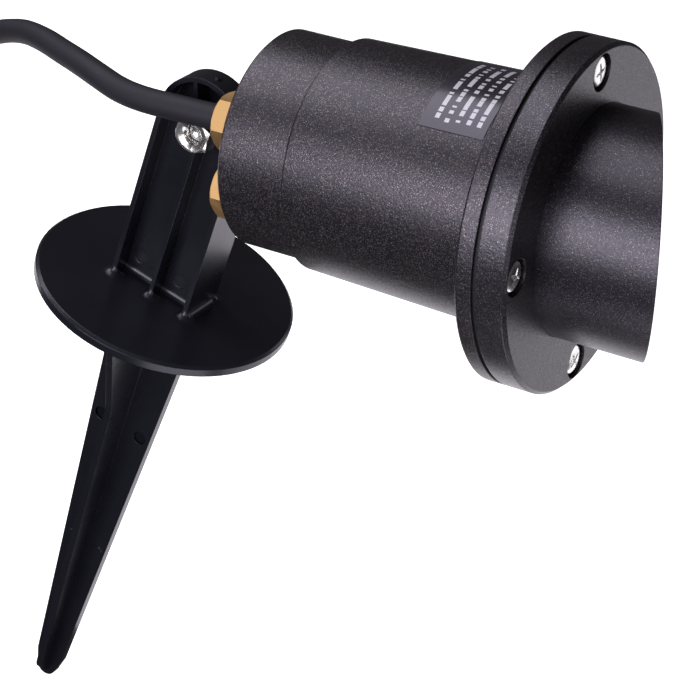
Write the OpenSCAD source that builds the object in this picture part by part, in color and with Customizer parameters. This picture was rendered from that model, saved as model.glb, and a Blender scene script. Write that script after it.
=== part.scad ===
// Light projector stake: a tilting spot lamp on a moulded ground spike.
// Origin: centre of the ground disc's underside. +Z up the stake, +X where the lamp looks,
// +Y along the pivot bolt. Everything is in millimetres.

/* [Stake] */
// Diameter of the round ground disc
disc_d = 74.4; // [60:0.2:100]
// Thickness of the ground disc
disc_t = 3; // [2:0.5:6]
// Length of the spike below the disc
spike_l = 154; // [100:1:220]
// Half width of the spike's wings under the disc
spike_half_w = 13.7; // [8:0.1:20]
// Half width of the spike's wings just above the tip
tip_half_w = 4.6; // [3:0.1:8]
// Width of the stalk
stalk_w = 26.2; // [20:0.2:34]

/* [Pivot] */
// Height of the pivot bolt above the disc's underside
pivot_z = 58.2; // [45:0.2:80]
// Rest tilt of the lamp above level
tilt = 17; // [2:1:77]
// Nominal diameter of the pivot bolt
bolt_d = 6; // [5:0.5:6]

/* [Lamp] */
// Outer diameter of the housing tube
tube_d = 65; // [60:0.5:75]
// Outer diameter of the flange and the front ring
ring_d = 90; // [80:0.5:100]
// Distance from the pivot to the rear face of the cap
rear_x = 19; // [18:0.5:30]
// Distance from the pivot to the front face of the ring
front_x = 110.3; // [105:0.1:120]
// Outer diameter of the glare shield
shield_d = 60; // [54:0.5:64]
// Reach of the glare shield on its long side
shield_long = 31.6; // [20:0.2:50]
// Reach of the glare shield on its short side
shield_short = 1.6; // [1:0.2:15]

/* [Cord] */
// Outer diameter of the mains cord
cord_d = 7; // [6:0.1:9]
// Diameter of the coil at the middle of its turns
coil_d = 75; // [74:1:84]

/* [Hidden] */
$fn = 64;
e = 0.01;

// stake
web_near = -3.8;            // near face of the stalk's web
lap_y = -1.8;               // far face of the head, where the lamp's ear lies
stalk_near = -9.3;
stalk_far = 5.8;
wall_t = 1.45;              // side walls of the stalk
rib_t = 1.2;                // its middle rib and the ribs in its head
rib_x = 0.5;
nut_clear = 6.4;            // room round the pivot for the nut
rib_top_z = pivot_z - nut_clear;
head_z = pivot_z + 2.4;
head_wall = 1.4;
head_rib_tilt = 20;         // lean of the two ribs above the pivot
shoulder_z = pivot_z - 14;  // the stalk is cut to half depth above this
wing_t = 2.8;
fin_t = 2.2;
fin_top = 26;               // reach of the fin under the disc
fin_mid = 11.8;
fin_mid_z = -38;
fin_tip = 6.6;
fin_short = 2.4;            // the fin ends this far above the wings' tip
tip_l = 8.2;                // length over which the wings draw in to the tip
tip_r = 3.4;                // radius of the tip itself
foot_r = 1.6;
knob_r = 2.7;               // flare round the end of each rib, at the disc
pit = [7.1, -49.6, 4.2, 1];        // x, z, diameter and depth of the sunk pin marks
dot = [5.2, -96.5, 2.8, 0.35];     // the same for the raised ones
web_mark = [6.8, 9, 4.6, 0.2];
nut_af = 10;
nut_h = 5;
nut_turn = 20;
nut_seat = -7.4;            // end of the boss that the nut sits on
nut_boss_d = 9;
washer_t = 1;
washer_d = 12;

// lamp stations along its axis, from the pivot
cap_l = 20;
cap_r = 29.2;
joint_x = rear_x + cap_l;
flange_x = 96.6;
gasket_x = 101.2;
gasket_t = 1.2;
ring_x = gasket_x + gasket_t;
ring_r = ring_d / 2;
tube_r = tube_d / 2;
joint_r = 31;
bore_r = 29.5;
spigot_r = 26.5;
spigot_l = 8;
cap_floor = 5;
cap_in_r = 24.4;
fit = 0.03;                 // clearance of plain pins and threads in their holes
screw_pcd_r = 39.2;
screw_d = 4;
screw_head_d = 8;
screw_head_h = 2;
sink_d = 9.6;
sink_depth = 2.3;
glass_r = 33;
glass_t = 3.3;
seat_x = 97;
shield_r = shield_d / 2;
shield_wall = 1.8;
shield_seat = 5.8;          // depth that the shield sits in the ring

// ear
ear_near = -1.5;
ear_t = 6.8;
ear_r = 7.5;

// glands
gland_y = -17;
gland_z = 9.45;
gland_af = 14;
gland_h = 5.2;
gland_thread = 12;

// bulb and its holder
bulb_front = 94.5;
bulb_r = 25;
holder_x = 31.5;
holder_l = 17;
boss_z = 20;
boss_r = 3.4;
boss_screw_r = 1.5;
bracket_t = 1.5;
hub_z = 8;                  // the two screws between the holder and its bracket
hub_screw_r = 1.6;
pin_y = 5;

// seal in the cap's spigot
seal_at = 2.5;
seal_w = 2.2;
seal_r = spigot_r - 1.4;

module along(x0, r, l) translate([x0, 0, 0]) rotate([0, 90, 0]) cylinder(h = l, r = r, $fn = 96);
module spun(profile) rotate([0, 90, 0]) rotate_extrude($fn = 96) polygon(profile);
module on_lamp() translate([0, 0, pivot_z]) rotate([0, -tilt, 0]) children();
module hex(af, h) cylinder(h = h, d = af / cos(30), $fn = 6);
module around(n, r, a0 = 0)
    for (i = [0 : n - 1]) rotate([a0 + i * 360 / n, 0, 0]) translate([0, 0, r]) children();

// ---------- stake ----------
module wing_plate() {
    rotate([90, 0, 0]) translate([0, 0, -wing_t / 2]) linear_extrude(wing_t) {
        polygon([[-spike_half_w, e], [spike_half_w, e], [tip_half_w, tip_l - spike_l],
                 [tip_r, tip_r - spike_l], [-tip_r, tip_r - spike_l], [-tip_half_w, tip_l - spike_l]]);
        translate([0, tip_r - spike_l]) circle(tip_r);
    }
}
module fin_plate() {
    rotate([90, 0, 90]) translate([0, 0, -fin_t / 2]) linear_extrude(fin_t) {
        fin_end = fin_tip + fin_short - spike_l;
        polygon([[-fin_top, e], [fin_top, e], [fin_mid, fin_mid_z], [fin_tip, fin_end],
                 [-fin_tip, fin_end], [-fin_mid, fin_mid_z]]);
        translate([0, fin_end]) circle(fin_tip);
    }
}
module pin_mark(m, face) {
    // a round mark on a wall that faces along Y; m holds x, z, diameter and depth
    translate([m[0], face, m[1]]) rotate([90, 0, 0])
        translate([0, 0, -m[3]]) cylinder(h = 2 * m[3], d = m[2], $fn = 32);
}
module both_sides() for (s = [0, 1]) mirror([s, 0, 0]) children();
module foot_fillet(l) {
    difference() {
        translate([0, 0, -e]) cube([l, foot_r, foot_r + e]);
        translate([-1, foot_r, foot_r]) rotate([0, 90, 0]) cylinder(h = l + 2, r = foot_r, $fn = 24);
    }
}
module rib_foot(t) {
    // flared foot round the end of a rib
    rotate_extrude($fn = 48) difference() {
        square([t / 2 + knob_r, knob_r]);
        translate([t / 2 + knob_r, knob_r]) circle(knob_r);
    }
}
near_depth = lap_y - stalk_near;
module stalk_near_half() {
    // E-section, its outline rounded over the head
    intersection() {
        translate([0, lap_y, 0]) rotate([90, 0, 0]) linear_extrude(lap_y - stalk_near) {
            translate([-stalk_w / 2, disc_t - e]) square([stalk_w, head_z - disc_t]);
            translate([0, head_z]) circle(stalk_w / 2, $fn = 96);
        }
        union() {
            translate([-stalk_w, web_near, 0]) cube([stalk_w * 2, lap_y - web_near, head_z + 20]);
            both_sides() {
                translate([stalk_w / 2 - wall_t, stalk_near, 0]) cube([wall_t, near_depth, head_z]);
                translate([0, 0, pivot_z]) rotate([0, head_rib_tilt, 0])
                    translate([-rib_t / 2, stalk_near, nut_clear]) cube([rib_t, near_depth, 20]);
            }
            translate([rib_x - rib_t / 2, stalk_near, 0]) cube([rib_t, near_depth, rib_top_z]);
            difference() {
                translate([0, lap_y, head_z]) rotate([90, 0, 0])
                    cylinder(h = near_depth, r = stalk_w / 2, $fn = 96);
                translate([0, lap_y + 1, head_z]) rotate([90, 0, 0])
                    cylinder(h = 20, r = stalk_w / 2 - head_wall, $fn = 96);
                translate([-stalk_w, -20, head_z - 40]) cube([stalk_w * 2, 40, 40]);
            }
        }
    }
}
module stalk_far_half() {
    depth = stalk_far - lap_y + e;
    both_sides() translate([stalk_w / 2 - wall_t, lap_y - e, disc_t - e])
        cube([wall_t, depth, shoulder_z - disc_t]);
    translate([rib_x - rib_t / 2, lap_y - e, disc_t - e]) cube([rib_t, depth, shoulder_z - disc_t - 1]);
    translate([-stalk_w / 2, lap_y - e, shoulder_z - wall_t]) cube([stalk_w, depth, wall_t]);
}
module stalk_feet() {
    // rounded feet where the walls, the ribs and the web meet the disc
    wall_x = (stalk_w - wall_t) / 2;
    near_y = stalk_near + wall_t / 2;
    far_y = stalk_far - wall_t / 2;
    translate([0, 0, disc_t]) {
        both_sides() for (y = [near_y, far_y]) translate([wall_x, y, 0]) rib_foot(wall_t);
        for (y = [stalk_near + rib_t / 2, stalk_far - rib_t / 2]) translate([rib_x, y, 0]) rib_foot(rib_t);
        both_sides() translate([stalk_w / 2, far_y, 0]) rotate([0, 0, -90]) foot_fillet(far_y - near_y);
        translate([stalk_w / 2 - wall_t, web_near, 0]) rotate([0, 0, 180])
            foot_fillet(stalk_w - 2 * wall_t);
    }
}
module stake() {
    rim = 0.8;
    color([0.16, 0.17, 0.21]) difference() {
        union() {
            cylinder(h = disc_t - rim, d = disc_d, $fn = 120);
            translate([0, 0, disc_t - rim]) cylinder(h = rim, d1 = disc_d, d2 = disc_d - 2 * rim, $fn = 120);
            wing_plate();
            fin_plate();
            stalk_near_half();
            stalk_far_half();
            stalk_feet();
            translate([0, lap_y, pivot_z]) rotate([90, 0, 0])
                cylinder(h = lap_y - nut_seat, d = nut_boss_d, $fn = 64);
            both_sides() for (y = [-1, 1]) pin_mark(dot, y * wing_t / 2);
            // stub left by the moulding gate, on top of the head
            translate([-0.4, -5.9, head_z + stalk_w / 2 - 1]) cylinder(h = 1.5, d = 1.7, $fn = 24);
        }
        both_sides() for (y = [-1, 1]) pin_mark(pit, y * wing_t / 2);
        translate([-1.1, 0, 0]) both_sides() pin_mark(web_mark, web_near);
        // bolt hole through the head
        translate([0, 10, pivot_z]) rotate([90, 0, 0]) cylinder(h = 30, r = bolt_d / 2 + fit, $fn = 48);
    }
}

// ---------- pivot hardware ----------
far_washer_y = ear_near + ear_t + 0.3;
module pivot_bolt() {
    tail = nut_h - 3 - nut_seat;     // its end stops 3 mm short of the nut's face
    head_h = 4;
    color([0.75, 0.76, 0.78]) translate([0, 0, pivot_z]) rotate([-90, 0, 0]) difference() {
        union() {
            translate([0, 0, -tail]) cylinder(h = far_washer_y + washer_t + tail + e, d = bolt_d, $fn = 48);
            translate([0, 0, far_washer_y + washer_t]) hex(nut_af, head_h);
        }
        translate([0, 0, far_washer_y + washer_t + head_h - 0.5]) cylinder(h = 1, d = 6.5, $fn = 32);
    }
}
module pivot_washer() {
    color([0.8, 0.81, 0.83]) translate([0, far_washer_y, pivot_z]) rotate([-90, 0, 0]) difference() {
        cylinder(h = washer_t, d = washer_d, $fn = 64);
        translate([0, 0, -1]) cylinder(h = washer_t + 2, r = bolt_d / 2 + fit, $fn = 48);
    }
}
module pivot_nut() {
    color([0.8, 0.81, 0.83]) translate([0, nut_seat, pivot_z]) rotate([90, 0, 0]) difference() {
        intersection() {
            rotate([0, 0, -nut_turn]) hex(nut_af, nut_h);
            cylinder(h = nut_h, d1 = nut_af * 1.45, d2 = nut_af - 0.4, $fn = 64);
        }
        translate([0, 0, -1]) cylinder(h = nut_h + 2, r = bolt_d / 2 + fit, $fn = 48);
        translate([0, 0, nut_h - 0.4]) cylinder(h = 0.5, d1 = bolt_d, d2 = bolt_d + 1, $fn = 48);
    }
}

// ---------- lamp body ----------
module rear_cap() {
    color([0.20, 0.20, 0.22]) on_lamp() difference() {
        union() {
            spun([[0, rear_x], [cap_r - 0.8, rear_x], [cap_r, rear_x + 0.8], [cap_r, joint_x - 0.5],
                  [cap_r - 0.5, joint_x], [0, joint_x]]);
            along(joint_x - e, spigot_r, spigot_l);
            // ear that laps the stake's head
            translate([0, ear_near, 0]) rotate([-90, 0, 0]) cylinder(h = ear_t, r = ear_r, $fn = 64);
            translate([0, ear_near, -ear_r]) cube([rear_x + 1, ear_t, ear_r * 2]);
        }
        difference() {
            along(rear_x + cap_floor, cap_in_r, 40);
            // two bosses carry the holder's bracket
            for (s = [-1, 1]) translate([0, 0, s * boss_z])
                along(rear_x + 1, boss_r, holder_x - bracket_t - rear_x - 1);
        }
        for (s = [-1, 1]) translate([0, 0, s * boss_z]) along(rear_x + cap_floor + 1, boss_screw_r, 20);
        for (s = [-1, 1]) translate([0, gland_y, s * gland_z]) along(rear_x - 1, gland_thread / 2, 10);
        translate([0, ear_near - 1, 0]) rotate([-90, 0, 0])
            cylinder(h = ear_t + 2, r = bolt_d / 2 + 2 * fit, $fn = 64);
        // groove for the cap's seal
        difference() {
            along(joint_x + seal_at, spigot_r + 1, seal_w);
            along(joint_x, seal_r, 2 * seal_w + seal_at);
        }
    }
}
module cap_seal() {
    color([0.05, 0.05, 0.05]) on_lamp() difference() {
        along(joint_x + seal_at + 0.1, spigot_r + 0.1, seal_w - 0.2);
        along(joint_x, seal_r, 2 * seal_w + seal_at);
    }
}
module housing_tube() {
    color([0.20, 0.20, 0.22]) on_lamp() difference() {
        spun([[spigot_r + 0.1, joint_x + 0.3], [joint_r - 0.6, joint_x + 0.3], [joint_r, joint_x + 0.8],
              [tube_r, flange_x], [ring_r - 0.6, flange_x],
              [ring_r, flange_x + 0.6], [ring_r, gasket_x], [glass_r + 0.3, gasket_x],
              [glass_r + 0.3, seat_x], [bore_r, seat_x], [bore_r, joint_x + spigot_l + 2],
              [spigot_r + 0.1, joint_x + spigot_l + 2]]);
        around(4, screw_pcd_r) along(flange_x + 0.6, screw_d / 2, 20);
    }
}
module glass_gasket() {
    color([0.05, 0.05, 0.05]) on_lamp() rotate([0, 90, 0]) translate([0, 0, seat_x]) difference() {
        cylinder(h = gasket_x - glass_t - seat_x, r = glass_r, $fn = 96);
        translate([0, 0, -1]) cylinder(h = 5, r = bore_r, $fn = 96);
    }
}
module front_glass() {
    color([0.8, 0.9, 0.95, 0.4]) on_lamp() along(gasket_x - glass_t, glass_r, glass_t);
}
module flange_gasket() {
    color([0.04, 0.04, 0.04]) on_lamp() difference() {
        along(gasket_x, ring_r - 0.9, gasket_t);
        along(gasket_x - 1, shield_r - 2.6, 5);
        around(4, screw_pcd_r) along(gasket_x - 1, screw_d / 2 + 0.2, 5);
    }
}
module front_ring() {
    color([0.24, 0.24, 0.27]) on_lamp() difference() {
        spun([[shield_r - 2.6, ring_x], [ring_r, ring_x], [ring_r, front_x - 0.9],
              [ring_r - 0.9, front_x], [shield_r, front_x], [shield_r, front_x - shield_seat],
              [shield_r - 2.6, front_x - shield_seat]]);
        around(4, screw_pcd_r) {
            along(ring_x - 1, screw_d / 2 + 0.2, 20);
            along(front_x - sink_depth, sink_d / 2, 5);
        }
    }
}
module glare_shield() {
    // a tube with its mouth cut on a slant: long towards the near side, short away from it
    mid = (shield_long + shield_short) / 2;
    slant = atan((shield_long - shield_short) / shield_d);
    color([0.20, 0.20, 0.22]) on_lamp() difference() {
        along(front_x - shield_seat, shield_r, shield_seat + shield_long + 2);
        along(front_x - shield_seat - 1, shield_r - shield_wall, shield_seat + shield_long + 9);
        translate([front_x + mid, 0, 0]) rotate([0, 0, slant])
            translate([0, -60, -60]) cube([60, 120, 120]);
    }
}
module ring_screws() {
    head_x = front_x - sink_depth;
    slot_w = 0.9;
    slot_l = 4.4;
    color([0.8, 0.81, 0.83]) on_lamp() around(4, screw_pcd_r) difference() {
        union() {
            along(flange_x + 0.7, screw_d / 2 - fit, head_x - flange_x);
            translate([head_x, 0, 0]) rotate([0, 90, 0])
                cylinder(h = screw_head_h, d1 = screw_head_d, d2 = screw_head_d - 0.4, $fn = 48);
        }
        for (r = [0, 90]) translate([head_x + screw_head_h - 0.9, 0, 0]) rotate([r, 0, 0])
            translate([0, -slot_l / 2, -slot_w / 2]) cube([3, slot_l, slot_w]);
    }
}
module rating_label() {
    // a thin film label on the tapered tube
    x0 = front_x - 38;
    l = 18;
    draft = (tube_r - joint_r) / (flange_x - joint_x - 0.8);
    r0 = joint_r + draft * (x0 - joint_x - 0.8);
    color([0.55, 0.56, 0.58]) on_lamp() difference() {
        translate([x0, 0, 0]) rotate([0, 90, 0])
            cylinder(h = l, r1 = r0 + 0.2, r2 = r0 + 0.2 + draft * l, $fn = 96);
        translate([x0 - 1, 0, 0]) rotate([0, 90, 0])
            cylinder(h = l + 2, r1 = r0 - draft, r2 = r0 + draft * (l + 1), $fn = 96);
        // it covers 48 to 120 degrees, counted up from the near side
        rotate([-48, 0, 0]) translate([0, -60, -120]) cube([200, 120, 120]);
        rotate([-120, 0, 0]) translate([0, -60, 0]) cube([200, 120, 120]);
    }
}

// ---------- glands ----------
module gland_body() {
    difference() {
        union() {
            intersection() {
                translate([rear_x - gland_h, 0, 0]) rotate([0, 90, 0]) rotate([0, 0, 90])
                    hex(gland_af, gland_h);
                translate([rear_x - gland_h, 0, 0]) rotate([0, 90, 0])
                    cylinder(h = gland_h, r1 = gland_af / 2 + 0.1, r2 = gland_af / 2 + 6, $fn = 64);
            }
            along(rear_x - e, gland_thread / 2 - fit, 8);
        }
        along(rear_x - gland_h - 1, cord_d / 2 + 0.8, 20);
    }
}
module gland_upper() {
    color([0.80, 0.62, 0.36]) on_lamp() translate([0, gland_y, gland_z]) gland_body();
}
module gland_lower() {
    color([0.80, 0.62, 0.36]) on_lamp() translate([0, gland_y, -gland_z]) gland_body();
}
module gland_seal() {
    color([0.06, 0.06, 0.06]) on_lamp() translate([0, gland_y, gland_z]) difference() {
        along(rear_x - gland_h + 0.3, cord_d / 2 + 0.8, 9);
        along(rear_x - gland_h - 1, cord_d / 2 + 0.05, 20);
    }
}
module blanking_plug() {
    color([0.07, 0.07, 0.07]) on_lamp() translate([0, gland_y, -gland_z])
        along(rear_x - gland_h + 0.4, cord_d / 2 + 0.8, 8);
}
// ---------- bulb and wiring ----------
module bulb_shell() {
    color([0.85, 0.86, 0.88]) on_lamp() spun([[0, holder_x + holder_l], [9.5, holder_x + holder_l],
        [9.5, holder_x + holder_l + 5], [13, holder_x + holder_l + 9], [16, holder_x + holder_l + 18],
        [22, bulb_front - 12], [bulb_r, bulb_front - 6], [bulb_r, bulb_front - 1],
        [bulb_r - 1.5, bulb_front], [bulb_r - 2.5, bulb_front], [bulb_r - 2.5, bulb_front - 3],
        [0, bulb_front - 3]]);
}
module bulb_lens() {
    color([0.95, 0.95, 0.9]) on_lamp() along(bulb_front - 3, bulb_r - 2.5 - fit, 2.6);
}
module bulb_pins() {
    color([0.75, 0.75, 0.72]) on_lamp() for (s = [-1, 1]) translate([0, s * pin_y, 0]) {
        along(holder_x + holder_l - 6, 1.2, 6);
        along(holder_x + holder_l - 7.8, 2.4 - fit, 2);
    }
}
module lampholder() {
    color([0.9, 0.89, 0.85]) on_lamp() difference() {
        along(holder_x, 13.5, holder_l);
        for (s = [-1, 1]) translate([0, s * pin_y, 0]) along(holder_x + holder_l - 7.8, 2.4, 20);
        for (s = [-1, 1]) translate([0, 0, s * hub_z]) along(holder_x - 1, hub_screw_r, 4);
    }
}
module holder_bracket() {
    color([0.7, 0.71, 0.73]) on_lamp() difference() {
        translate([holder_x - bracket_t, -5, -boss_z - 3.5]) cube([bracket_t, 10, 2 * boss_z + 7]);
        for (s = [-1, 1]) translate([0, 0, s * boss_z]) along(holder_x - 3, boss_screw_r + 0.2, 6);
        for (s = [-1, 1]) translate([0, 0, s * hub_z]) along(holder_x - 3, hub_screw_r + 0.1, 6);
        along(holder_x - 3, 3, 6);
    }
}
module holder_screws() {
    boss_screw_x = rear_x + cap_floor + 2;
    color([0.78, 0.78, 0.8]) on_lamp() for (s = [-1, 1]) {
        translate([0, 0, s * boss_z]) {
            along(boss_screw_x, boss_screw_r - fit, holder_x - boss_screw_x + e);
            along(holder_x, 2.8, 1.6);
        }
        translate([0, 0, s * hub_z]) {
            along(holder_x - bracket_t, hub_screw_r - fit, 3.5);
            along(holder_x - bracket_t - 1.4, 2.6, 1.4);
        }
    }
}
term_y = 11;
term_x = rear_x + cap_floor;
term_pitch = 5.6;
term_hole_r = 1.4;
module each_pole() for (k = [-1, 0, 1]) translate([term_x + 2.7, term_y, k * term_pitch]) children();
module terminal_block() {
    color([0.88, 0.88, 0.85]) on_lamp() difference() {
        translate([term_x, term_y, -9]) cube([5.4, 9, 18]);
        each_pole() translate([0, 2, 0]) rotate([90, 0, 0]) cylinder(h = 6, r = 1.2, $fn = 24);
        each_pole() translate([0, 4.5, 0]) rotate([0, 90, 0]) cylinder(h = 6, r = term_hole_r, $fn = 24);
    }
}
module terminal_screws() {
    color([0.75, 0.7, 0.4]) on_lamp() each_pole() translate([0, 4.5, 0]) rotate([0, 90, 0])
        cylinder(h = 2.2, r = term_hole_r - fit, $fn = 24);
}

// ---------- swept tubes ----------
function unit(v) = v / norm(v);
function mix4(p, t) = 0.5 * ((2 * p[1]) + (p[2] - p[0]) * t
    + (2 * p[0] - 5 * p[1] + 4 * p[2] - p[3]) * t * t
    + (3 * p[1] - p[0] - 3 * p[2] + p[3]) * t * t * t);
function pick(p, i) = p[max(0, min(len(p) - 1, i))];
function curve(p, steps) = concat(
    [for (i = [0 : len(p) - 2], k = [0 : steps - 1])
        mix4([pick(p, i - 1), p[i], p[i + 1], pick(p, i + 2)], k / steps)], [p[len(p) - 1]]);
function heading(c, i) = unit(pick(c, i + 1) - pick(c, i - 1));
function ring_at(c, i, r, n) = let(t = heading(c, i), s = unit(cross(t, [0, 0, 1])), u = cross(s, t))
    [for (k = [0 : n - 1]) c[i] + r * (cos(360 * k / n) * s + sin(360 * k / n) * u)];
module tube(p, r, n, steps) {
    c = curve(p, steps);
    m = len(c);
    polyhedron(
        [for (i = [0 : m - 1]) each ring_at(c, i, r, n)],
        concat([[for (k = [0 : n - 1]) k]],
               [for (i = [0 : m - 2], k = [0 : n - 1])
                   [i * n + k, (i + 1) * n + k, (i + 1) * n + (k + 1) % n, i * n + (k + 1) % n]],
               [[for (k = [n - 1 : -1 : 0]) (m - 1) * n + k]]));
}

// ---------- cord ----------
g = cord_d / 2;
nest = cord_d * sqrt(3) / 2;        // a turn that lies between two others is this much higher
coil_x = -140;
coil_top = g + nest + cord_d / 2;
inner_r = coil_d / 2 - 2 * cord_d + 1.5;        // innermost wall of the coil
ring_r3 = inner_r + 3 * cord_d;                 // outer wall of its three full turns
coil_y = 28.5 - ring_r3 - g;
inside = [cos(tilt), 0, sin(tilt)];
gland_at = [-sin(tilt) * gland_z, gland_y, pivot_z + cos(tilt) * gland_z];
lead_path = [
    gland_at + inside * (rear_x + 7), gland_at + inside * (rear_x - gland_h),
    [-2, gland_y, 67.2], [-14, -16.6, 63.2], [-23, -14.5, 60.4], [-32, -10.9, 58.2],
    [-41, -6, 55.3], [-51, 0, 51.4], [-62, 6.8, 46.9], [-73, 13.6, 41], [-84, 19.4, 32.8],
    [-95, 23.6, 22.8], [-106, 26.2, 13.6], [-118, 27.8, 6.8], [-129, 28.4, g + 0.5], [coil_x, 28.5, g]];
tail_y = coil_y - inner_r - 2 * cord_d;
tail_path = [[coil_x, tail_y, g + nest], [coil_x + 9, tail_y, 9.2], [coil_x + 18, tail_y, 9],
             [coil_x + 25, tail_y, 9.3], [coil_x + 31, tail_y, 10.3]];
plug_at = tail_path[4];
module power_cord() { color([0.07, 0.07, 0.08]) tube(lead_path, g, 10, 2); }
module cord_tail() { color([0.07, 0.07, 0.08]) tube(tail_path, g, 10, 2); }
module coil_band(r0, r1, h) {
    // one layer of turns with softened edges
    bevel = 1;
    rotate_extrude($fn = 96) polygon([[r0, bevel], [r0 + bevel, 0], [r1 - bevel, 0], [r1, bevel],
        [r1, h - bevel], [r1 - bevel, h], [r0 + bevel, h], [r0, h - bevel]]);
}
module cord_coil() {
    // three full turns and a half turn outside them on the ground, and two turns on top
    color([0.07, 0.07, 0.08]) translate([coil_x, coil_y, 0]) {
        coil_band(inner_r, ring_r3, cord_d);
        translate([0, 0, nest - 0.5]) coil_band(inner_r + g, ring_r3 - g, cord_d + 0.5);
        intersection() {
            coil_band(ring_r3 - 2, ring_r3 + cord_d, cord_d);
            translate([-100, -100, -1]) cube([100, 200, 20]);
        }
    }
}
module coil_tie() {
    // a strap round the section of the coil on the +X side
    strap_t = 1;
    strap_w = 12;
    w = ring_r3 - inner_r + 0.4;
    h = coil_top + 0.2;
    color([0.1, 0.1, 0.1]) translate([coil_x + inner_r - 0.2, coil_y - strap_w / 2, 0]) difference() {
        translate([-strap_t, 0, 0]) cube([w + 2 * strap_t, strap_w, h + strap_t]);
        translate([0, -1, -1]) cube([w, strap_w + 2, h + 1]);
    }
}

// ---------- mains plug ----------
plug_lift = 12.2;
face_r = 18.4;
earth_z = 17;
module on_plug() translate(plug_at) rotate([0, -plug_lift, 0]) children();
module plug_body() {
    color([0.08, 0.08, 0.08]) on_plug() difference() {
        spun([[0, 0], [5.4, 0], [5.8, 12], [10, 15], [13.5, 24], [14.5, 33], [face_r, 37],
              [face_r, 52], [face_r - 1, 53], [0, 53]]);
        along(-1, g, 9);
        for (s = [-1, 1]) translate([0, s * 9.5, 0]) along(45, 2.4, 20);
        for (s = [-1, 1]) translate([40, -3, s * earth_z - 1.4]) cube([20, 6, 2.8]);
    }
}
module plug_pins() {
    color([0.8, 0.8, 0.78]) on_plug() for (s = [-1, 1]) translate([0, s * 9.5, 0]) {
        along(45, 2.4, 25.5);
        translate([70.5, 0, 0]) sphere(2.4, $fn = 32);
    }
}
module plug_earth_clips() {
    color([0.8, 0.72, 0.5]) on_plug() for (s = [-1, 1])
        translate([40, -3, s * earth_z - 1.4]) cube([12.5, 6, 2.4]);
}

stake();
pivot_bolt();
pivot_nut();
pivot_washer();
rear_cap();
cap_seal();
housing_tube();
flange_gasket();
glass_gasket();
front_glass();
front_ring();
glare_shield();
ring_screws();
rating_label();
gland_upper();
gland_lower();
gland_seal();
blanking_plug();
bulb_shell();
bulb_lens();
bulb_pins();
lampholder();
holder_bracket();
holder_screws();
terminal_block();
terminal_screws();
power_cord();
cord_tail();
cord_coil();
coil_tie();
plug_body();
plug_pins();
plug_earth_clips();
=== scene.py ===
import math

import bmesh
import bpy
from mathutils import Matrix, Vector


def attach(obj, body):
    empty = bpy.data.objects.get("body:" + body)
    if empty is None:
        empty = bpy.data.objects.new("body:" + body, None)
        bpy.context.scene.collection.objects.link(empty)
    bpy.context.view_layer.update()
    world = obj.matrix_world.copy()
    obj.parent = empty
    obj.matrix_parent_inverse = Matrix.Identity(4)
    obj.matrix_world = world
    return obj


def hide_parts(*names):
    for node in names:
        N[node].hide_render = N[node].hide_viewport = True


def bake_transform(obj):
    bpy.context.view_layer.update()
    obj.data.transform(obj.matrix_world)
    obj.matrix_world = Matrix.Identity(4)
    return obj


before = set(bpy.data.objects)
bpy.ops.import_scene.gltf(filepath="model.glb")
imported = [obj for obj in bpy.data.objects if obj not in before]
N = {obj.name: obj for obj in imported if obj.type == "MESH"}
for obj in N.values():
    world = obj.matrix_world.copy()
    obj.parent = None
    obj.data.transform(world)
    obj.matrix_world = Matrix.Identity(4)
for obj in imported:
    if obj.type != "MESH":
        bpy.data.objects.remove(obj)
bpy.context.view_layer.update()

MM = 0.001
scene = bpy.context.scene
COL = scene.collection

# The lamp at rest, in mm: its axis looks up by TILT from the pivot bolt
TILT = math.radians(17)
PIVOT = Vector((0, 0, 58.2))
AXIS = Vector((math.cos(TILT), 0, math.sin(TILT)))
LAMP = Matrix.Translation(PIVOT) @ Matrix.Rotation(-TILT, 4, "Y")

# ------------------------------------------------------------------ camera
right = Vector((0.811596, 0.508897, 0.286942))
up = Vector((-0.512311, 0.383871, 0.768232))
back = right.cross(up)
cam_at = Vector((0.24183, -0.50329, 0.39120))
cam_data = bpy.data.cameras.new("view_camera")
cam_data.lens = 124.11
cam_data.sensor_width = 36.0
cam_data.clip_start = 0.01
cam_data.clip_end = 50.0
cam = bpy.data.objects.new("view_camera", cam_data)
cam.matrix_world = Matrix((
    (right.x, up.x, back.x, cam_at.x),
    (right.y, up.y, back.y, cam_at.y),
    (right.z, up.z, back.z, cam_at.z),
    (0, 0, 0, 1),
))
COL.objects.link(cam)
scene.camera = cam


# ------------------------------------------------------------------ small helpers
def catmull(pts, steps):
    """A smooth line through the points, with this many steps between neighbours."""
    pts = [Vector(p) for p in pts]
    out = []
    for i in range(len(pts) - 1):
        p0, p1, p2, p3 = pts[max(i - 1, 0)], pts[i], pts[i + 1], pts[min(i + 2, len(pts) - 1)]
        for k in range(steps):
            t = k / steps
            out.append(0.5 * ((2 * p1) + (p2 - p0) * t + (2 * p0 - 5 * p1 + 4 * p2 - p3) * t * t
                              + (3 * p1 - p0 - 3 * p2 + p3) * t ** 3))
    return out + [pts[-1]]


def link(name, mesh, mat=None, smooth=True):
    o = bpy.data.objects.new(name, mesh)
    COL.objects.link(o)
    if mat:
        mesh.materials.append(mat)
    if smooth:
        for p in mesh.polygons:
            p.use_smooth = True
    return o


def loops(bm, rings, close):
    """Faces between rings of vertices; close joins the last ring to the first, or caps both ends."""
    made = [[bm.verts.new(v) for v in ring] for ring in rings]
    n = len(made[0])
    for a, b in list(zip(made, made[1:])) + ([(made[-1], made[0])] if close else []):
        for k in range(n):
            bm.faces.new((a[k], a[(k + 1) % n], b[(k + 1) % n], b[k]))
    if not close:
        bm.faces.new(made[0][::-1])
        bm.faces.new(made[-1])


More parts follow.
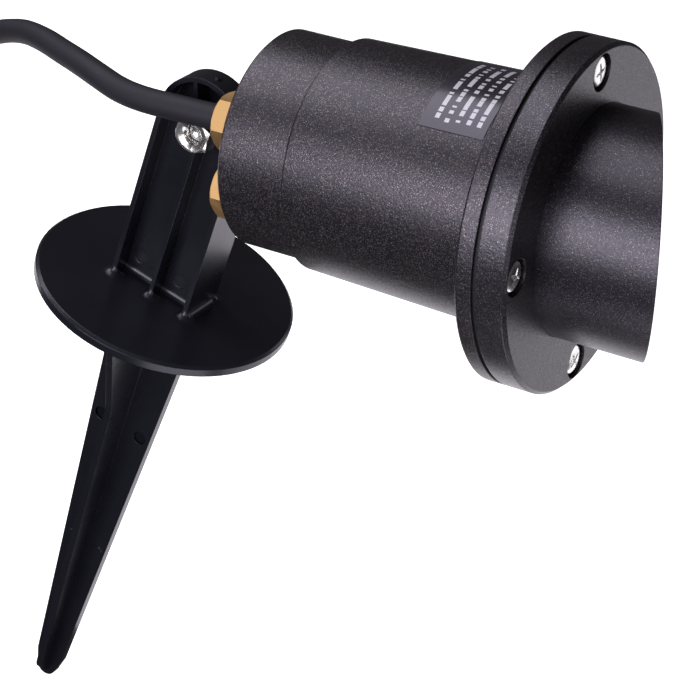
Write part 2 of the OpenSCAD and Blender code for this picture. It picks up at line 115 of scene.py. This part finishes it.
def mesh_of(name, bm):
    """The finished mesh, with its faces turned outwards."""
    bmesh.ops.recalc_face_normals(bm, faces=bm.faces)
    mesh = bpy.data.meshes.new(name)
    bm.to_mesh(mesh)
    bm.free()
    return mesh


def sweep(name, line, radius, sides, mat, profile):
    """A closed tube along a line; profile(i, k) scales the radius at ring i, corner k."""
    rings, n = [], len(line)
    ref = Vector((0, 0, 1))
    for i, p in enumerate(line):
        t = (line[min(i + 1, n - 1)] - line[max(i - 1, 0)]).normalized()
        side = t.cross(ref)
        if side.length < 1e-4:
            side = t.cross(Vector((0, 1, 0)))
        side.normalize()
        rise = side.cross(t)
        ring = []
        for k in range(sides):
            a = 2 * math.pi * k / sides
            r = radius * profile(i, k)
            ring.append(p + side * math.cos(a) * r + rise * math.sin(a) * r)
        rings.append(ring)
    bm = bmesh.new()
    loops(bm, rings, False)
    return link(name, mesh_of(name, bm), mat)


# ------------------------------------------------------------------ materials
def nodes_of(name):
    m = bpy.data.materials.new(name)
    m.use_nodes = True
    nt = m.node_tree
    return m, nt, nt.nodes["Principled BSDF"]


def tex(nt, kind, coord, **values):
    t = nt.nodes.new(kind)
    for k, v in values.items():
        t.inputs[k].default_value = v
    nt.links.new(coord, t.inputs["Vector"])
    return t


def ramp(nt, src, stops):
    r = nt.nodes.new("ShaderNodeValToRGB")
    e = r.color_ramp.elements
    while len(e) < len(stops):
        e.new(0.5)
    for q, (pos, c) in zip(e, stops):
        q.position = pos
        q.color = (*c, 1)
    nt.links.new(src, r.inputs["Fac"])
    return r


def mixed(nt, fac, a, b, kind="MIX"):
    m = nt.nodes.new("ShaderNodeMix")
    m.data_type = "RGBA"
    m.blend_type = kind
    for src, sock in ((fac, m.inputs[0]), (a, m.inputs[6]), (b, m.inputs[7])):
        if isinstance(src, bpy.types.NodeSocket):
            nt.links.new(src, sock)
        else:
            sock.default_value = src if isinstance(src, (int, float)) else (*src, 1)
    return m.outputs[2]


def bumped(nt, bsdf, height, distance, strength=1.0, edge=0.0):
    b = nt.nodes.new("ShaderNodeBump")
    b.inputs["Distance"].default_value = distance
    b.inputs["Strength"].default_value = strength
    nt.links.new(height, b.inputs["Height"])
    if edge:
        w = nt.nodes.new("ShaderNodeBevel")
        w.samples = 4
        w.inputs["Radius"].default_value = edge
        nt.links.new(w.outputs["Normal"], b.inputs["Normal"])
    nt.links.new(b.outputs["Normal"], bsdf.inputs["Normal"])


def sheen(p, tint=(0.90, 0.85, 1.0), level=0.58):
    """The faint violet or blue cast of light on the black parts."""
    p.inputs["Specular Tint"].default_value = (*tint, 1)
    p.inputs["Specular IOR Level"].default_value = level


def coords(nt):
    return nt.nodes.new("ShaderNodeTexCoord").outputs["Object"]


def powder(name, base, fleck, rough, grain, density, edge=0.0004):
    """Textured powder coat: a dark base with a fine grain and small metal flakes."""
    m, nt, p = nodes_of(name)
    c = coords(nt)
    cells = tex(nt, "ShaderNodeTexVoronoi", c, Scale=5000.0)
    pick = nt.nodes.new("ShaderNodeSeparateColor")
    nt.links.new(cells.outputs["Color"], pick.inputs["Color"])
    lit = ramp(nt, pick.outputs["Red"],
               [(0.0, (0, 0, 0)), (1 - density, (0, 0, 0)), (1.0, (1, 1, 1))])
    core = ramp(nt, cells.outputs["Distance"], [(0.25, (1, 1, 1)), (0.6, (0, 0, 0))])
    flake = mixed(nt, 1.0, lit.outputs[0], core.outputs[0], "MULTIPLY")
    cloud = tex(nt, "ShaderNodeTexNoise", c, Scale=60.0, Detail=3.0)
    tone = mixed(nt, cloud.outputs["Fac"], [v * 0.8 for v in base], [v * 1.25 for v in base])
    tint = mixed(nt, pick.outputs["Green"], fleck, [v * w for v, w in zip(fleck, (1.0, 0.85, 0.76))])
    nt.links.new(mixed(nt, flake, tone, tint), p.inputs["Base Color"])
    nt.links.new(flake, p.inputs["Metallic"])
    fine = tex(nt, "ShaderNodeTexNoise", c, Scale=1500.0, Detail=3.0, Roughness=0.6)
    r = ramp(nt, fine.outputs["Fac"], [(0.3, (rough - 0.05,) * 3), (0.7, (rough + 0.07,) * 3)])
    nt.links.new(r.outputs[0], p.inputs["Roughness"])
    bumped(nt, p, fine.outputs["Fac"], grain, 1.0, edge)
    sheen(p)
    return m


def plastic(name, base, rough, grain=0.00002, scale=900.0, edge=0.0004, level=0.5):
    """Moulded plastic or rubber with a fine grain; the black ones get a cool sheen."""
    m, nt, p = nodes_of(name)
    c = coords(nt)
    cloud = tex(nt, "ShaderNodeTexNoise", c, Scale=35.0, Detail=4.0)
    nt.links.new(mixed(nt, cloud.outputs["Fac"], [v * 0.85 for v in base],
                       [v * 1.15 for v in base]), p.inputs["Base Color"])
    fine = tex(nt, "ShaderNodeTexNoise", c, Scale=scale, Detail=4.0)
    r = ramp(nt, cloud.outputs["Fac"], [(0.35, (rough - 0.05,) * 3), (0.7, (rough + 0.06,) * 3)])
    nt.links.new(r.outputs[0], p.inputs["Roughness"])
    bumped(nt, p, fine.outputs["Fac"], grain, 0.8, edge)
    if max(base) < 0.03:
        sheen(p, (0.87, 0.86, 1.0), level)
    return m


def calc(nt, op, a, b=0.0):
    """The output of a maths node on two sockets or numbers."""
    m = nt.nodes.new("ShaderNodeMath")
    m.operation = op
    for src, sock in ((a, m.inputs[0]), (b, m.inputs[1])):
        if isinstance(src, (int, float)):
            sock.default_value = src
        else:
            nt.links.new(src, sock)
    return m.outputs[0]


def between(nt, v, low, high):
    return calc(nt, "MULTIPLY", calc(nt, "GREATER_THAN", v, low), calc(nt, "LESS_THAN", v, high))


def painted_pit_shade(m):
    """Painted shade inside the sunk pin marks on the spike's wings: their reflection is turned down
    there.
    """
    nt = m.node_tree
    p = nt.nodes["Principled BSDF"]
    axes = nt.nodes.new("ShaderNodeSeparateXYZ")
    nt.links.new(coords(nt), axes.inputs[0])
    pit_x, pit_z, pit_r, half_wing = 0.0071, -0.0496, 0.00212, 0.0012
    level, drop = 0.5, 0.46
    across = calc(nt, "SUBTRACT", calc(nt, "ABSOLUTE", axes.outputs["X"]), pit_x)
    along = calc(nt, "SUBTRACT", axes.outputs["Z"], pit_z)
    reach = calc(nt, "SQRT", calc(nt, "ADD", calc(nt, "MULTIPLY", across, across),
                                  calc(nt, "MULTIPLY", along, along)))
    sunk = calc(nt, "LESS_THAN", calc(nt, "ABSOLUTE", axes.outputs["Y"]), half_wing)
    inside = calc(nt, "MULTIPLY", calc(nt, "LESS_THAN", reach, pit_r), sunk)
    # painted shade: less reflection inside each pit
    nt.links.new(calc(nt, "SUBTRACT", level, calc(nt, "MULTIPLY", inside, drop)),
                 p.inputs["Specular IOR Level"])


def metal(name, base, rough, grain=0.00001, edge=0.0002):
    """Plain metal with a faint cloud; grain is the depth of its bump in metres."""
    m, nt, p = nodes_of(name)
    p.inputs["Metallic"].default_value = 1.0
    c = coords(nt)
    cloud = tex(nt, "ShaderNodeTexNoise", c, Scale=220.0, Detail=5.0)
    nt.links.new(mixed(nt, cloud.outputs["Fac"], [v * 0.88 for v in base],
                       [min(1, v * 1.08) for v in base]), p.inputs["Base Color"])
    r = ramp(nt, cloud.outputs["Fac"], [(0.3, (rough - 0.06,) * 3), (0.7, (rough + 0.08,) * 3)])
    nt.links.new(r.outputs[0], p.inputs["Roughness"])
    fine = tex(nt, "ShaderNodeTexNoise", c, Scale=1800.0, Detail=2.0)
    bumped(nt, p, fine.outputs["Fac"], grain, 0.6, edge)
    return m


COAT = powder("dark_coat", (0.0055, 0.0050, 0.0070), (0.36, 0.32, 0.34), 0.36, 0.00009, 0.30)
SHADE = powder("shade_coat", (0.0058, 0.0053, 0.0074), (0.30, 0.27, 0.29), 0.35, 0.00006, 0.15)
RING = powder("ring_coat", (0.0085, 0.0078, 0.0100), (0.34, 0.31, 0.32), 0.31, 0.00008, 0.20)
STAKE = plastic("stake_plastic", (0.0076, 0.0080, 0.0120), 0.29, 0.00003, 700.0, edge=0.00025)
# painted shade inside the spike's sunk pin marks
painted_pit_shade(STAKE)
STEEL = metal("bright_steel", (0.82, 0.81, 0.81), 0.17)
PLATED = metal("plated_steel", (0.92, 0.91, 0.90), 0.22, grain=0.000001, edge=0.0)
BRASS = metal("gland_brass", (0.56, 0.36, 0.16), 0.56)
RUBBER = plastic("black_rubber", (0.005, 0.005, 0.005), 0.62, 0.00003, 1400.0)
CORD = plastic("cord_rubber", (0.0120, 0.0112, 0.0148), 0.66, 0.00004, 1100.0, edge=0.0, level=0.38)
PLUG = plastic("plug_rubber", (0.014, 0.014, 0.015), 0.5, 0.00003, 1200.0)
TIE = plastic("tie_fabric", (0.02, 0.02, 0.021), 0.8, 0.00012, 1600.0, edge=0.0)
SHELL = plastic("bulb_plastic", (0.62, 0.62, 0.64), 0.35)
CERAMIC = plastic("holder_ceramic", (0.72, 0.70, 0.64), 0.25)
ZINC = metal("zinc_steel", (0.60, 0.61, 0.63), 0.38)
WHITE = plastic("terminal_plastic", (0.68, 0.68, 0.64), 0.45)


def label_film():
    """A dark glossy film with rows of plain pale dashes, which spell nothing."""
    m, nt, p = nodes_of("label_film")
    c = coords(nt)
    move = nt.nodes.new("ShaderNodeMapping")
    move.vector_type = "TEXTURE"
    move.inputs["Location"].default_value = PIVOT * MM
    move.inputs["Rotation"].default_value = (0, -TILT, 0)
    nt.links.new(c, move.inputs["Vector"])
    axes = nt.nodes.new("ShaderNodeSeparateXYZ")
    nt.links.new(move.outputs["Vector"], axes.inputs[0])
    # rows along the lamp's axis in metres, dashes around it in radians
    first_row, pitch, half_row, row_count = 0.0748, 0.0029, 0.21, 4.9
    dash_step, least_dash, turn_from, turn_to = 0.062, 0.25, 0.91, 1.72
    u = calc(nt, "DIVIDE", calc(nt, "SUBTRACT", axes.outputs["X"], first_row), pitch)
    row = calc(nt, "FLOOR", u)
    off_middle = calc(nt, "ABSOLUTE", calc(nt, "SUBTRACT", calc(nt, "FRACT", u), 0.5))
    in_row = calc(nt, "LESS_THAN", off_middle, half_row)
    turn = calc(nt, "ARCTAN2", axes.outputs["Z"], calc(nt, "MULTIPLY", axes.outputs["Y"], -1.0))
    step = calc(nt, "DIVIDE", turn, dash_step)
    spot = nt.nodes.new("ShaderNodeCombineXYZ")
    nt.links.new(row, spot.inputs["X"])
    nt.links.new(calc(nt, "FLOOR", step), spot.inputs["Y"])
    noise = nt.nodes.new("ShaderNodeTexWhiteNoise")
    nt.links.new(spot.outputs[0], noise.inputs["Vector"])
    in_dash = calc(nt, "LESS_THAN", calc(nt, "FRACT", step),
                   calc(nt, "ADD", noise.outputs["Value"], least_dash))
    in_block = calc(nt, "MULTIPLY", between(nt, turn, turn_from, turn_to),
                    between(nt, u, 0.0, row_count))
    print_mask = calc(nt, "MULTIPLY", calc(nt, "MULTIPLY", in_row, in_dash), in_block)
    cloud = tex(nt, "ShaderNodeTexNoise", c, Scale=45.0, Detail=3.0)
    r = ramp(nt, cloud.outputs["Fac"], [(0.35, (0.016, 0.015, 0.019)), (0.75, (0.040, 0.038, 0.046))])
    nt.links.new(mixed(nt, print_mask, r.outputs[0], (0.52, 0.51, 0.56)), p.inputs["Base Color"])
    q = ramp(nt, cloud.outputs["Fac"], [(0.3, (0.16,) * 3), (0.8, (0.3,) * 3)])
    nt.links.new(q.outputs[0], p.inputs["Roughness"])
    fine = tex(nt, "ShaderNodeTexNoise", c, Scale=260.0, Detail=2.0)
    bumped(nt, p, fine.outputs["Fac"], 0.00004, 0.5)
    sheen(p)
    return m


def clear_glass():
    m, nt, p = nodes_of("clear_glass")
    c = coords(nt)
    cloud = tex(nt, "ShaderNodeTexNoise", c, Scale=30.0, Detail=2.0)
    nt.links.new(mixed(nt, cloud.outputs["Fac"], (0.90, 0.95, 0.95), (0.96, 0.98, 0.98)),
                 p.inputs["Base Color"])
    p.inputs["Transmission Weight"].default_value = 1.0
    p.inputs["Roughness"].default_value = 0.03
    p.inputs["IOR"].default_value = 1.5
    fine = tex(nt, "ShaderNodeTexNoise", c, Scale=80.0, Detail=1.0)
    bumped(nt, p, fine.outputs["Fac"], 0.00001, 0.3)
    return m


LABEL, GLASS = label_film(), clear_glass()
LENS = plastic("lens_plastic", (0.72, 0.73, 0.70), 0.12)

FINISH = {
    "stake": STAKE, "pivot_bolt": STEEL, "pivot_nut": STEEL, "pivot_washer": STEEL,
    "rear_cap": COAT, "housing_tube": COAT, "glare_shield": SHADE, "front_ring": RING,
    "cap_seal": RUBBER, "flange_gasket": RUBBER, "glass_gasket": RUBBER, "gland_seal": RUBBER,
    "blanking_plug": RUBBER, "front_glass": GLASS, "ring_screws": STEEL, "rating_label": LABEL,
    "gland_upper": BRASS, "gland_lower": BRASS, "bulb_shell": SHELL,
    "bulb_lens": LENS, "bulb_pins": STEEL, "lampholder": CERAMIC, "holder_bracket": ZINC,
    "holder_screws": STEEL, "terminal_block": WHITE, "terminal_screws": BRASS,
    "power_cord": CORD, "cord_tail": CORD, "cord_coil": CORD, "coil_tie": TIE,
    "plug_body": PLUG, "plug_pins": STEEL, "plug_earth_clips": BRASS,
}
for node_name, o in N.items():
    o.data.materials.clear()
    o.data.materials.append(FINISH[node_name])

# ------------------------------------------------------------------ the cord
G = 7.0 / 2                 # the cord's radius, mm
NEST = 6.06                 # how much higher a turn lies between two others
COIL = (-140.0, -21.0)      # the coil's middle
TURN_STEPS = 48
GLAND = LAMP @ Vector((0, -17, 9.45))
lead = [GLAND + AXIS * 26, GLAND + AXIS * 13.8,
        (-2, -17, 67.2), (-14, -16.6, 63.2), (-23, -14.5, 60.4), (-32, -10.9, 58.2),
        (-41, -6, 55.3), (-51, 0, 51.4), (-62, 6.8, 46.9), (-73, 13.6, 41), (-84, 19.4, 32.8),
        (-95, 23.6, 22.8), (-106, 26.2, 13.6), (-118, 27.8, 6.8), (-129, 28.4, G + 0.5),
        (COIL[0], 28.5, G)]
line = catmull(lead, 6)
# (radius, height, share of a turn): inwards on the ground, then outwards on top of that
TURNS = [(49.5, G, 0.5), (42.5, G, 1.0), (35.5, G, 1.0), (28.5, G, 1.0),
         (32.0, G + NEST, 1.0), (39.0, G + NEST, 1.0)]
turn_points, start = [], 90.0
for i, (r, z, share) in enumerate(TURNS):
    n = int(TURN_STEPS * share)
    hold, shift = (0.72, 0.28) if share == 1.0 else (0.5, 0.5)
    nr, nz = (TURNS[i + 1][0], TURNS[i + 1][1]) if i + 1 < len(TURNS) else (r, z)
    for k in range(n):
        f = k / n
        s = max(0.0, (f - hold) / shift)
        s = s * s * (3 - 2 * s)
        a = math.radians(start + 360 * share * f)
        q, h = r + (nr - r) * s, z + (nz - z) * s
        turn_points.append(Vector((COIL[0] + q * math.cos(a), COIL[1] + q * math.sin(a), h)))
    start += 360 * share
tail = [(COIL[0], -60, G + NEST), (COIL[0] + 9, -60, 9.2), (COIL[0] + 18, -60, 9.0),
        (COIL[0] + 25, -60, 9.3), (COIL[0] + 31, -60, 10.3), (COIL[0] + 37.5, -60, 11.7)]
line = line[:-1] + turn_points + catmull(tail, 4)
path = [p * MM for p in line]


def sheath(i, k):
    """The slight waviness of a rubber sheath."""
    return 1.0 + 0.004 * math.sin(k * 2.1 + i * 0.05)


cord = sweep("mains_cord", path, G * MM, 18, CORD, sheath)
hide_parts("power_cord", "cord_coil", "cord_tail")
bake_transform(cord)


# ------------------------------------------------------------------ nut, bolt and screws
def hexagon(a, across, corner=0.0):
    """Distance from the middle to a hexagon's side at angle a, with a corner at the given angle."""
    return across / 2 / math.cos((a - corner) % math.radians(60) - math.radians(30))


def finished(name, bm, mat, body, *stands_for):
    """A piece with crisp edges that rides on a body in place of CAD nodes."""
    mesh = mesh_of(name, bm)
    o = link(name, mesh, mat, smooth=False)
    mesh.set_sharp_from_angle(angle=math.radians(32))
    for p in mesh.polygons:
        p.use_smooth = True
    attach(o, body)
    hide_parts(*stands_for)
    return o


BOLT = Matrix.Scale(MM, 4) @ Matrix.Translation(PIVOT) @ Matrix.Rotation(math.radians(90), 4, "Z")
ACROSS = 10.0                       # nut and bolt head, across flats
CORNER = math.radians(208)          # where one corner of both points
NUT_OUT, NUT_IN = -12.4, -7.4       # the nut's faces, along the bolt towards its head
BORE = 3.05
SHANK = 2.96
HEAD_IN, HEAD_OUT = 6.6, 10.58


def flats(a):
    return hexagon(a, ACROSS, CORNER)


def over(a, limit):
    """How far a corner is ground back outside a circle of this radius."""
    return max(0.0, flats(a) - limit) * 0.55


def thread(x, a):
    """The nut's thread of 1 mm pitch, opening into a countersink at the outer face."""
    return 2.62 + 0.8 * abs((x + a / math.tau) % 1.0 - 0.5) + max(0.0, -11.6 - x)


def hex_ring(x, radius):
    """One ring round the bolt's axis; x and radius are numbers or functions of the angle."""
    ring = []
    for k in range(120):
        a = CORNER + math.radians(3 * k)
        ex, r = (v(a) if callable(v) else v for v in (x, radius))
        ring.append(BOLT @ Vector((ex, r * math.cos(a), r * math.sin(a))))
    return ring


nut = [hex_ring(NUT_IN, BORE),
       hex_ring(NUT_IN, lambda a: min(flats(a), 5.2)),
       hex_ring(lambda a: NUT_IN - over(a, 5.2), flats),
       hex_ring(lambda a: NUT_OUT + 1.4 * over(a, 4.7), flats),
       hex_ring(NUT_OUT, lambda a: min(flats(a), 4.7)),
       hex_ring(NUT_OUT, 4.1)]
for i in range(22):
    x = -11.8 + 0.11 * i
    nut.append(hex_ring(x, lambda a: thread(x, a)))
nut.append(hex_ring(-9.4, BORE))
bm = bmesh.new()
loops(bm, nut, True)
finished("hex_nut", bm, PLATED, "stake", "pivot_nut")

# the bolt, from its domed end inside the nut to its head
bolt = [hex_ring(x, r) for x, r in ((-9.05, 0.05), (-9.2, 0.9), (-9.4, 1.3), (-9.4, 2.35),
                                    (-8.8, SHANK), (HEAD_IN, SHANK), (HEAD_IN, 4.9))]
bolt += [hex_ring(lambda a: HEAD_IN + over(a, 5.3), flats),
         hex_ring(lambda a: 10.5 - over(a, 4.85), flats),
         hex_ring(HEAD_OUT, lambda a: min(flats(a), 4.8))]
bolt += [hex_ring(x, r) for x, r in ((HEAD_OUT, 4.1), (10.3, 3.8), (10.3, 0.05))]
bm = bmesh.new()
loops(bm, bolt, False)
finished("hex_bolt", bm, PLATED, "stake", "pivot_bolt")

SCREW_CIRCLE = 39.2                 # from the lamp's axis to each ring screw's
HEAD_R, HEAD_EDGE = 4.0, 109.2      # a screw head's radius and where its dome begins


def clamp(v):
    return max(0.0, min(1.0, v))


def screw_ring(at, twist, x, r, recess=False):
    """One ring round a screw's axis; recess sinks the cross, turned by twist degrees."""
    ring = []
    for k in range(144):
        a = math.radians(2.5 * k)
        deep = 0.0
        if recess:
            q = (a - math.radians(twist)) % (math.pi / 2)
            off = r * min(math.sin(q), math.cos(q))
            along = r * max(math.sin(q), math.cos(q))
            wing = 0.50 - 0.10 * along
            deep = clamp((wing - off) / 0.16) * clamp((2.35 - along) / 0.3)
            deep *= 1.15 - 0.38 * along
        ring.append(at @ Vector((x - deep, r * math.cos(a), r * math.sin(a))))
    return ring


bm = bmesh.new()
for i, twist in enumerate((12, 62, 35, 80)):
    at = (Matrix.Scale(MM, 4) @ LAMP @ Matrix.Rotation(math.radians(90 * i), 4, "X")
          @ Matrix.Translation((0, 0, SCREW_CIRCLE)))
    rings = [screw_ring(at, twist, x, r) for x, r in (
        (97.4, 1.6), (97.9, 1.95), (108.05, 1.95), (108.05, 3.85), (108.2, HEAD_R), (HEAD_EDGE, HEAD_R))]
    for k in range(30):
        f = 1 - k / 29
        r = 3.98 * f + 0.02
        dome = 0.8 * max(0.0, 1 - (r / HEAD_R) ** 3) ** 0.5
        rings.append(screw_ring(at, twist, HEAD_EDGE + dome, r, True))
    loops(bm, rings, False)
finished("cross_screws", bm, PLATED, "lamp", "ring_screws")

# ------------------------------------------------------------------ stage
floor_mesh = bpy.data.meshes.new("floor")
bm = bmesh.new()
bmesh.ops.create_grid(bm, x_segments=1, y_segments=1, size=6)
bm.to_mesh(floor_mesh)
bm.free()
floor = link("floor", floor_mesh)
floor.location = (0, 0, -0.156)      # 2 mm below the spike's tip
floor.visible_glossy = False
floor.visible_diffuse = False
fm, _, fp = nodes_of("pale_floor")
fp.inputs["Base Color"].default_value = (0.85, 0.85, 0.85, 1)
fp.inputs["Roughness"].default_value = 0.9
fp.inputs["Emission Color"].default_value = (1, 1, 1, 1)
fp.inputs["Emission Strength"].default_value = 0.97
floor_mesh.materials.append(fm)

world = bpy.data.worlds.new("studio")
world.use_nodes = True
world.node_tree.nodes["Background"].inputs["Color"].default_value = (1, 0.98, 1.04, 1)
world.node_tree.nodes["Background"].inputs["Strength"].default_value = 0.06
scene.world = world


def softbox(name, at, aim, size, size_y, glow):
    """A soft light of the given sizes; glow is how bright its face looks, with white at 1."""
    d = bpy.data.lights.new(name, "AREA")
    d.energy = glow * math.pi * size * size_y
    d.shape = "RECTANGLE"
    d.color = (1.0, 0.97, 1.02)
    d.size = size
    d.size_y = size_y
    o = bpy.data.objects.new(name, d)
    o.location = at
    o.rotation_mode = "QUATERNION"
    o.rotation_quaternion = (Vector(aim) - Vector(at)).to_track_quat("-Z", "Y")
    o.visible_camera = False
    COL.objects.link(o)


softbox("sweep", (0.08, 0.35, -0.152), (0.08, 0.35, 1.0), 0.75, 0.66, 1.4)
softbox("front", (-0.105, -0.63, 0.17), (0.05, 0, 0.07), 0.46, 0.40, 6.4)
softbox("above", (-0.54, -0.04, 0.54), (0.05, 0, 0.07), 0.6, 0.8, 3.1)
softbox("right", (0.50, 0.58, 0.05), (0.10, 0, 0.09), 0.5, 0.36, 1.15)
softbox("side", (0.72, -0.20, 0.22), (0.10, 0, 0.08), 0.4, 0.4, 1.5)
softbox("low", (0.19, -0.14, -0.13), (0.02, -0.03, 0.0), 0.22, 0.14, 2.4)
softbox("glint", (0.24, -0.43, 0.15), (0.0, -0.01, 0.058), 0.20, 0.26, 2.2)
scene.view_settings.view_transform = "Standard"
